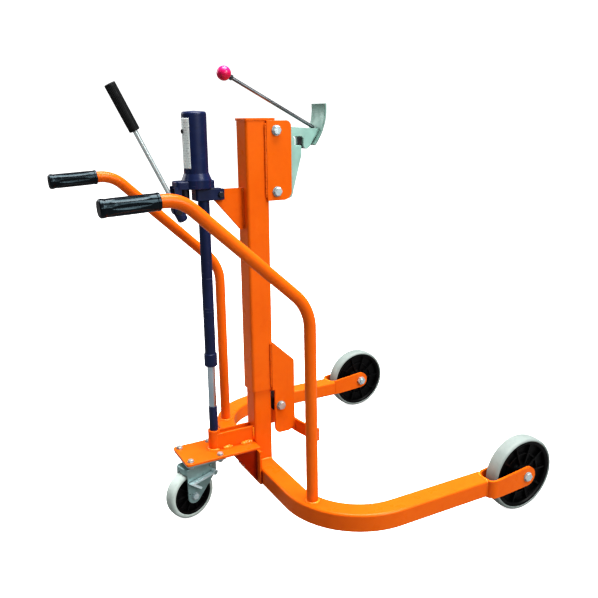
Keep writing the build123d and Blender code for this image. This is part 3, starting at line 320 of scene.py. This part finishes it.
def black_plastic():
    m = Mat("black_plastic")
    m.set(Specular_IOR_Level=0.18)
    col = m.mix(m.ramp(m.noise(30.0, 4.0), 0.3, 0.7), rgb(2, 2, 3), rgb(8, 8, 9))
    speck = m.math("MULTIPLY", m.ramp(m.voronoi(210.0), 0.035, 0.06, 1.0, 0.0), m.ramp(m.noise(26.0, 2.0), 0.52, 0.64))
    col = m.mix(m.math("MULTIPLY", speck, 0.55), col, rgb(150, 152, 150))
    edge = m.math("MULTIPLY", m.edges(0.001), m.ramp(m.noise(70.0, 3.0), 0.4, 0.62))
    col = m.mix(m.math("MULTIPLY", edge, 0.5), col, rgb(92, 94, 96))
    rough = m.ramp(m.noise(60.0, 4.0), 0.3, 0.7, 0.32, 0.52)
    nrm = m.bump(m.noise(650.0, 3.0), 0.12, 0.0002)
    return m.wire(col, rough, nrm)


def grip_rubber():
    m = Mat("grip_rubber")
    col = m.mix(m.ramp(m.noise(40.0, 4.0), 0.3, 0.7), rgb(8, 10, 14), rgb(18, 20, 26))
    dust = m.math("MULTIPLY", m.crevice(0.004), m.ramp(m.noise(120.0, 4.0), 0.4, 0.65, 0.1, 0.6))
    col = m.mix(m.math("MULTIPLY", dust, 0.18), col, rgb(70, 76, 84))
    m.set(Specular_IOR_Level=0.28, Specular_Tint=(0.60, 0.88, 1.0, 1.0))
    rough = m.ramp(m.noise(30.0, 3.0), 0.3, 0.7, 0.17, 0.25)
    nrm = m.bump(m.noise(220.0, 2.0), 0.012, 0.0002)
    return m.wire(col, rough, nrm)


def matte_grip():
    m = Mat("matte_grip")
    col = m.mix(m.ramp(m.noise(40.0, 4.0), 0.3, 0.7), rgb(4, 6, 7), rgb(12, 15, 16))
    dust = m.math("MULTIPLY", m.crevice(0.003), m.ramp(m.noise(120.0, 4.0), 0.4, 0.65, 0.1, 0.6))
    col = m.mix(m.math("MULTIPLY", dust, 0.2), col, rgb(84, 86, 88))
    m.set(Specular_IOR_Level=0.3)
    rough = m.ramp(m.noise(55.0, 4.0), 0.3, 0.7, 0.5, 0.68)
    nrm = m.bump(m.noise(620.0, 3.0), 0.18, 0.0003)
    return m.wire(col, rough, nrm)


def red_knob():
    m = Mat("red_knob")
    m.set(Coat_Weight=0.3, Coat_Roughness=0.14, Specular_IOR_Level=0.3)
    # lighter pink on the upward-facing side and darker crimson underneath: painted highlight and painted shade
    up = m.t.nodes.new("ShaderNodeSeparateXYZ")
    m.link(m.coord.outputs["Normal"], up.inputs[0])
    col = m.mix(m.ramp(up.outputs["Z"], -0.5, 0.9), rgb(218, 14, 70), rgb(244, 40, 136))
    col = m.mix(m.ramp(m.noise(160.0, 4.0), 0.52, 0.75, 0.0, 0.3), col, rgb(160, 2, 52))
    rough = m.ramp(m.noise(60.0, 4.0), 0.3, 0.7, 0.24, 0.36)
    nrm = m.bump(m.noise(120.0, 2.0), 0.03, 0.0003)
    return m.wire(col, rough, nrm)


def blank_label():
    m = Mat("blank_label")
    col = m.mix(m.ramp(m.noise(24.0, 4.0), 0.3, 0.7), rgb(236, 246, 244), rgb(246, 252, 250))
    col = m.mix(m.ramp(m.noise(150.0, 5.0), 0.56, 0.72, 0.0, 0.35), col, rgb(206, 216, 214))
    up = m.t.nodes.new("ShaderNodeSeparateXYZ")
    m.link(m.coord.outputs["Object"], up.inputs[0])
    row = m.ramp(m.math("SINE", m.math("MULTIPLY", up.outputs["Z"], 1080.0)), 0.55, 0.80)
    dash = m.ramp(m.noise(1.0, 3.0, vec=m.mapping((190, 190, 150))), 0.50, 0.56)
    col = m.mix(m.math("MULTIPLY", m.math("MULTIPLY", row, dash), 0.5), col, rgb(120, 132, 138))
    rough = m.ramp(m.noise(60.0, 4.0), 0.3, 0.7, 0.34, 0.5)
    nrm = m.bump(m.noise(300.0, 3.0), 0.08, 0.0002)
    return m.wire(col, rough, nrm)


M = {
    "orange": orange_paint("orange_paint", rgb(239, 108, 16), rgb(243, 113, 20), rgb(232, 94, 10)),
    # the deep paint is painted shade: a darker, redder copy of the orange paint for the gussets
    # the zinc plate's mint tint is partly the plating's own tint and partly a painted green reflection
    "deep": orange_paint("shaded_orange_paint", rgb(154, 36, 4), rgb(166, 44, 6), rgb(128, 24, 3)), "weld": weld_paint(), "navy": navy_paint(), "zinc": zinc("zinc_plate", 0.2, rgb(157, 201, 189), rgb(172, 209, 199), rgb(142, 184, 174)),
    # painted shade: a darker copy of the zinc plate for the horn
    "horn": zinc("horn_shaded_zinc", 0.2, rgb(118, 153, 143), rgb(129, 162, 152), rgb(107, 140, 131)),
    "fork": zinc("fork_zinc", 0.55, rgb(142, 172, 171), rgb(164, 192, 190), rgb(128, 156, 156)), "bright": bright_steel("bright_steel", 0.62, rgb(204, 223, 227), rgb(224, 239, 242)),
    "dull": bright_steel("dull_steel", 0.45, rgb(170, 179, 178), rgb(190, 199, 198)),
    "shiny": bright_steel("shiny_steel", 0.3, rgb(212, 235, 239), rgb(226, 244, 247)), "dark": dark_steel(),
    "chrome": chrome(), "tyre": tyre("grey_tyre", rgb(140, 151, 147), rgb(154, 164, 160), rgb(122, 132, 129)),
    # painted light: a paler copy of the tyre grey for the caster tyre
    "pale": tyre("caster_lit_grey", rgb(188, 203, 196), rgb(199, 212, 206), rgb(168, 181, 175)), "plastic": black_plastic(), "grip": grip_rubber(), "matte": matte_grip(),
    "rod": drawn_rod("drawn_rod", 1.0, rgb(100, 103, 106), rgb(124, 127, 130)),
    "lever": drawn_rod("lever_rod", 0.72, rgb(192, 206, 206), rgb(212, 223, 223)),
    "red": red_knob(), "label": blank_label(),
}
FINISH = {
    "orange": """left_leg_tube right_leg_tube wheel_yokes mast_post mast_base_plate caster_plate ram_socket
        ram_strap left_handle_tube right_handle_tube lift_sleeve sleeve_cap left_upper_plate right_upper_plate
        left_lower_plate right_lower_plate backrest_bar pump_bracket""",
    # painted shade: the gussets take the darker copy of the orange paint
    "deep": "caster_gussets",
    "navy": "ram_foot pump_casting reservoir pump_clamp_block cylinder_tube cylinder_gland pump_rocker",
    "dull": "caster_bolts roller_bolt",
    "shiny": "caster_brake_lever",
    # mint tint: partly the plating's own, partly a painted green reflection
    "zinc": "clamp_cheeks beak_side_plates",
    # painted shade: the horn takes the darker copy of the zinc
    "horn": "beak_horn",
    "fork": "caster_mounting_plate caster_fork",
    "bright": "wheel_axle_bolts clamp_bolts caster_axle left_front_bush right_front_bush",
    "dark": "lower_jaw beak_tooth pump_clamp_bolt plunger_barrel lever_pivot_pin guide_roller release_valve",
    "rod": "beak_lever_rod",
    "lever": "pump_lever_rod",
    "chrome": "ram_rod pump_plunger",
    "tyre": "left_front_tyre right_front_tyre",
    # painted light: the caster tyre takes the paler copy of the tyre grey
    "pale": "caster_tyre",
    "plastic": "left_front_hub right_front_hub caster_hub filler_plug",
    "grip": "handle_grips",
    "matte": "pump_lever_grip",
    "red": "beak_knob",
}
for key, names in FINISH.items():
    for n in names.split():
        data = nodes[n].data
        data.materials.clear()
        data.materials.append(M[key])


# ---------------------------------------------------------------------------
# Pieces made here
# ---------------------------------------------------------------------------
def add_mesh(name, verts, faces, mat, body, smooth=True):
    me = bpy.data.meshes.new(name)
    me.from_pydata([tuple(v) for v in verts], [], faces)
    me.validate()
    me.update()
    me.materials.append(M[mat])
    if smooth:
        for p in me.polygons:
            p.use_smooth = True
    ob = bpy.data.objects.new(name, me)
    scene.collection.objects.link(ob)
    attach(ob, body)
    return ob


def at(x, y, z):
    """A point in metres from millimetres counted from the mast axis."""
    return Vector((x / 1000 + MAST_X, y / 1000, z / 1000))


def bead(name, path, r, body, mat="weld", closed=False, seed=1, lump=0.0):
    """A weld bead: a tube along the path with ripples, tapered at its ends.  path and r in millimetres from the mast."""
    rng = random.Random(seed)
    pts = [at(*p) for p in path]
    if closed:
        pts.append(pts[0])
    r /= 1000
    step = 0.0009
    run = [pts[0]]
    for p, q in zip(pts, pts[1:]):
        n = max(1, round((q - p).length / step))
        run += [p.lerp(q, i / n) for i in range(1, n + 1)]
    if closed:
        run.pop()
    n = len(run)
    phase, drift, wander = 0.0, 1.0, []
    for i in range(n):
        phase += step / 0.0026 * rng.uniform(0.75, 1.25)
        drift += 0.06 * (1.0 - drift) + rng.uniform(-0.035, 0.035)
        wander.append((phase, drift))
    ring, verts, faces = 10, [], []
    for i in range(n):
        if closed:
            t = run[(i + 1) % n] - run[i - 1]
        else:
            t = run[min(i + 1, n - 1)] - run[max(i - 1, 0)]
        t.normalize()
        u = t.cross(Vector((0.31, 0.52, 0.79))).normalized()
        v = t.cross(u)
        ph, dr = wander[i]
        k = dr * (0.90 + 0.16 * abs(math.sin(math.pi * ph)))
        k *= 1.0 - lump + lump * abs(math.sin(0.31 * math.pi * ph + seed))
        if not closed:
            e = min(i, n - 1 - i) * step / (1.6 * r)
            k *= min(1.0, 0.35 + 0.65 * math.sqrt(min(1.0, e)))
        for j in range(ring):
            w = 2 * math.pi * j / ring
            verts.append(run[i] + (u * math.cos(w) + v * math.sin(w)) * r * k)
    for i in range(n if closed else n - 1):
        for j in range(ring):
            a, b = i * ring + j, i * ring + (j + 1) % ring
            c, d = ((i + 1) % n) * ring + (j + 1) % ring, ((i + 1) % n) * ring + j
            faces.append((a, b, c, d))
    if not closed:
        faces.append(tuple(reversed(range(ring))))
        faces.append(tuple((n - 1) * ring + j for j in range(ring)))
    ob = add_mesh(name, verts, faces, mat, body)
    bm = bmesh.new()
    bm.from_mesh(ob.data)
    bmesh.ops.recalc_face_normals(bm, faces=bm.faces)
    bm.to_mesh(ob.data)
    bm.free()
    for p in ob.data.polygons:
        p.use_smooth = len(p.vertices) == 4
    return ob


def arc(cx, cy, z, r, a0, a1, n=48):
    return [
        (cx + r * math.cos(math.radians(a0 + (a1 - a0) * i / n)), cy + r * math.sin(math.radians(a0 + (a1 - a0) * i / n)), z)
        for i in range(n + 1)
    ]


# Chassis welds
for s, hand in ((1, "left"), (-1, "right")):
    bead(f"weld_handle_{hand}", arc(10.5, s * 271, 114.2, 15.2, 0, 360)[:-1], 2.6, "chassis", closed=True, seed=11 + s)
    bead(f"weld_bar_rear_{hand}", [(-114, s * 16.8, 171.5), (-88, s * 16.8, 171.5)], 6.4, "chassis", seed=21 + s, lump=0.28)
    bead(f"weld_bar_front_{hand}", [(-64, s * 16.8, 171.5), (-30, s * 16.8, 171.5)], 6.8, "chassis", seed=25 + s, lump=0.28)
    bead(f"weld_bar_post_{hand}", [(-25.6, s * 16.4, 176), (-25.6, s * 16.4, 211)], 3.2, "chassis", seed=31 + s, lump=0.2)
    # painted shade: the gusset and base-end welds take the darker copy of the orange paint too
    bead(f"weld_gusset_plate_{hand}", [(-91, s * 55.4, 163.6), (-39, s * 55.4, 163.6)], 2.3, "chassis", mat="deep", seed=41 + s)
    bead(f"weld_gusset_back_{hand}", [(-35.9, s * 55.4, 79), (-35.9, s * 55.4, 159)], 2.3, "chassis", mat="deep", seed=51 + s)
    bead(f"weld_base_end_{hand}", [(-29.9, s * 72.3, 74), (-29.9, s * 72.3, 109)], 2.5, "chassis", mat="deep", seed=61 + s)
    bead(f"weld_base_top_{hand}", [(-29.1, s * 70, 113.6), (-29.1, s * 28, 113.6)], 2.3, "chassis", seed=71 + s)
    bead(
        f"weld_leg_{hand}",
        [(-25.5, s * 25.4, 114.2), (16.5, s * 25.4, 114.2), (21.1, s * 25.4, 112.6), (22.9, s * 25.4, 109), (23.3, s * 25.4, 71)],
        2.4, "chassis", seed=81 + s,
    )
    bead(
        f"weld_yoke_{hand}",
        [
            (456.4, s * 364.6, 113.6), (452.0, s * 368, 114), (446.0, s * 375, 114), (443, s * 387.5, 114), (443, s * 404, 114),
            (443.4, s * 407.8, 112), (443.6, s * 409.7, 108), (443.6, s * 409.7, 73), (443.4, s * 407.8, 69.2),
            (443, s * 404, 67.4), (443, s * 387.5, 67.2), (446.0, s * 375, 67.2),
        ],
        2.2, "chassis", seed=91 + s,
    )
bead("weld_socket", arc(-132, 0, 170.6, 16.2, 62, 298), 3.2, "chassis", seed=101, lump=0.15)
bead("weld_plate_post", [(-25.6, -9, 170.4), (-25.6, 9, 170.4)], 2.4, "chassis", seed=102)

# Carriage welds
for s, hand in ((1, "left"), (-1, "right")):
    bead(f"weld_upper_plate_{hand}", [(21.2, s * 31.2, 818), (21.2, s * 31.2, 998)], 4.0, "carriage", mat="orange", seed=111 + s, lump=0.18)
    bead(f"weld_lower_plate_{hand}", [(23.2, s * 31.2, 321), (23.2, s * 31.2, 444)], 3.8, "carriage", mat="orange", seed=121 + s, lump=0.2)
    bead(f"weld_bracket_{hand}", [(-30.6, s * 5.0, 748), (-30.6, s * 5.0, 840)], 2.8, "carriage", mat="orange", seed=131 + s, lump=0.22)
    bead(f"weld_backrest_{hand}", [(88.4, s * 36.2, 184), (88.4, s * 36.2, 214)], 2.4, "carriage", mat="orange", seed=141 + s)


def label():
    """Blank film wrapped round the back of the reservoir."""
    cx, r0, r1, z0, z1, half = -147.0, 29.0, 29.28, 897.0, 1012.0, 46.0
    cols, rows, verts, faces = 48, 40, [], []
    rng = random.Random(5)
    for r in (r1, r0):
        for i in range(rows + 1):
            for j in range(cols + 1):
                a = math.radians(180 - half + 2 * half * j / cols)
                z = z0 + (z1 - z0) * i / rows
                k = r + (0.05 * math.sin(9 * a + 0.07 * z) * rng.random() if r == r1 else 0)
                verts.append(at(cx + k * math.cos(a), k * math.sin(a), z))
    m = (rows + 1) * (cols + 1)
    q = lambda i, j: i * (cols + 1) + j
    for i in range(rows):
        for j in range(cols):
            f = (q(i, j), q(i, j + 1), q(i + 1, j + 1), q(i + 1, j))
            faces.append(f)
            faces.append(tuple(m + k for k in reversed(f)))
    rim = [q(0, j) for j in range(cols)] + [q(i, cols) for i in range(rows)]
    rim += [q(rows, j) for j in range(cols, 0, -1)] + [q(i, 0) for i in range(rows, 0, -1)]
    for a, b in zip(rim, rim[1:] + rim[:1]):
        faces.append((b, a, a + m, b + m))
    me = bpy.data.meshes.new("reservoir_label")
    me.from_pydata([tuple(v) for v in verts], [], faces)
    me.validate()
    bm = bmesh.new()
    bm.from_mesh(me)
    bmesh.ops.recalc_face_normals(bm, faces=bm.faces)
    bm.to_mesh(me)
    bm.free()
    me.materials.append(M["label"])
    for p in me.polygons:
        p.use_smooth = True
    ob = bpy.data.objects.new("reservoir_label", me)
    scene.collection.objects.link(ob)
    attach(ob, "carriage")


label()


# ---------------------------------------------------------------------------
# Stage, light and camera
# ---------------------------------------------------------------------------
def floor():
    me = bpy.data.meshes.new("floor")
    s = 60.0
    me.from_pydata([(-s, -s, 0), (s, -s, 0), (s, s, 0), (-s, s, 0)], [], [(0, 1, 2, 3)])
    ob = bpy.data.objects.new("floor", me)
    scene.collection.objects.link(ob)
    m = Mat("floor_paper")
    m.set(Specular_IOR_Level=0.0)
    path = m.t.nodes.new("ShaderNodeLightPath")
    col = m.mix(m.ramp(m.noise(3.0, 3.0), 0.3, 0.7), (0.90, 0.90, 0.90), (0.93, 0.93, 0.93))
    col = m.mix(path.outputs["Is Camera Ray"], (0.20, 0.20, 0.20), col)
    far = m.t.nodes.new("ShaderNodeVectorMath")
    far.operation = "LENGTH"
    m.link(m.coord.outputs["Object"], far.inputs[0])
    glow = m.math("MULTIPLY", m.ramp(far.outputs["Value"], 0.9, 4.5, 0.75, 1.0), path.outputs["Is Camera Ray"])
    m.bsdf.inputs["Emission Color"].default_value = (1, 1, 1, 1)
    m.link(glow, m.bsdf.inputs["Emission Strength"])
    m.wire(col, m.ramp(m.noise(8.0, 3.0), 0.3, 0.7, 0.75, 0.85))
    me.materials.append(m.mat)


def area(name, at, to, size, watts, colour=(1, 1, 1), gloss_only=False):
    d = bpy.data.lights.new(name, "AREA")
    d.shape = "RECTANGLE"
    d.size, d.size_y = size
    d.energy = watts
    d.color = colour
    ob = bpy.data.objects.new(name, d)
    scene.collection.objects.link(ob)
    ob.location = at
    ob.rotation_mode = "QUATERNION"
    ob.rotation_quaternion = (Vector(to) - Vector(at)).to_track_quat("-Z", "Y")
    ob.visible_diffuse = not gloss_only


def world():
    w = bpy.data.worlds.new("studio")
    scene.world = w
    w.use_nodes = True
    t = w.node_tree
    t.nodes.clear()
    out = t.nodes.new("ShaderNodeOutputWorld")
    bg = t.nodes.new("ShaderNodeBackground")
    seen = t.nodes.new("ShaderNodeBackground")
    mix = t.nodes.new("ShaderNodeMixShader")
    path = t.nodes.new("ShaderNodeLightPath")
    bg.inputs["Color"].default_value = (1, 1, 1, 1)
    bg.inputs["Strength"].default_value = 0.17
    seen.inputs["Color"].default_value = (1, 1, 1, 1)
    seen.inputs["Strength"].default_value = 1.0
    t.links.new(path.outputs["Is Camera Ray"], mix.inputs["Fac"])
    t.links.new(bg.outputs["Background"], mix.inputs[1])
    t.links.new(seen.outputs["Background"], mix.inputs[2])
    t.links.new(mix.outputs["Shader"], out.inputs["Surface"])


def camera():
    yaw, pitch, roll = math.radians(-28.47), math.radians(14.90), math.radians(-0.55)
    back = Vector((math.sin(yaw) * math.cos(pitch), -math.cos(yaw) * math.cos(pitch), math.sin(pitch)))
    right = (-back).cross(Vector((0, 0, 1))).normalized()
    up = right.cross(-back)
    r2 = right * math.cos(roll) + up * math.sin(roll)
    u2 = up * math.cos(roll) - right * math.sin(roll)
    d = bpy.data.cameras.new("camera")
    d.sensor_width = 36.0
    d.lens = 696.5 / 598 * 36.0
    d.shift_x, d.shift_y = -1.5 / 598, 0.5 / 598
    d.clip_start, d.clip_end = 0.05, 100.0
    ob = bpy.data.objects.new("camera", d)
    scene.collection.objects.link(ob)
    m = Matrix((r2, u2, back)).transposed().to_4x4()
    m.translation = Vector((-0.7284 + MAST_X, -1.5825, 1.0179))
    ob.matrix_world = m
    scene.camera = ob


floor()
world()
area("key", (1.5, -3.9, 3.1), (0.0, 0.0, 0.5), (2.4, 2.0), 127.0)
area("top", (0.6, -0.3, 6.0), (0.0, 0.0, 0.0), (4.0, 4.0), 625.0)
area("fill", (-2.8, 4.2, 2.6), (0.0, 0.0, 0.6), (3.0, 3.0), 80.0)
area("strip", (0.45, -3.4, 1.5), (-0.4, -0.3, 0.85), (2.5, 0.35), 26.0, gloss_only=True)
camera()
scene.view_settings.view_transform = "Standard"
scene.view_settings.look = "Medium High Contrast"
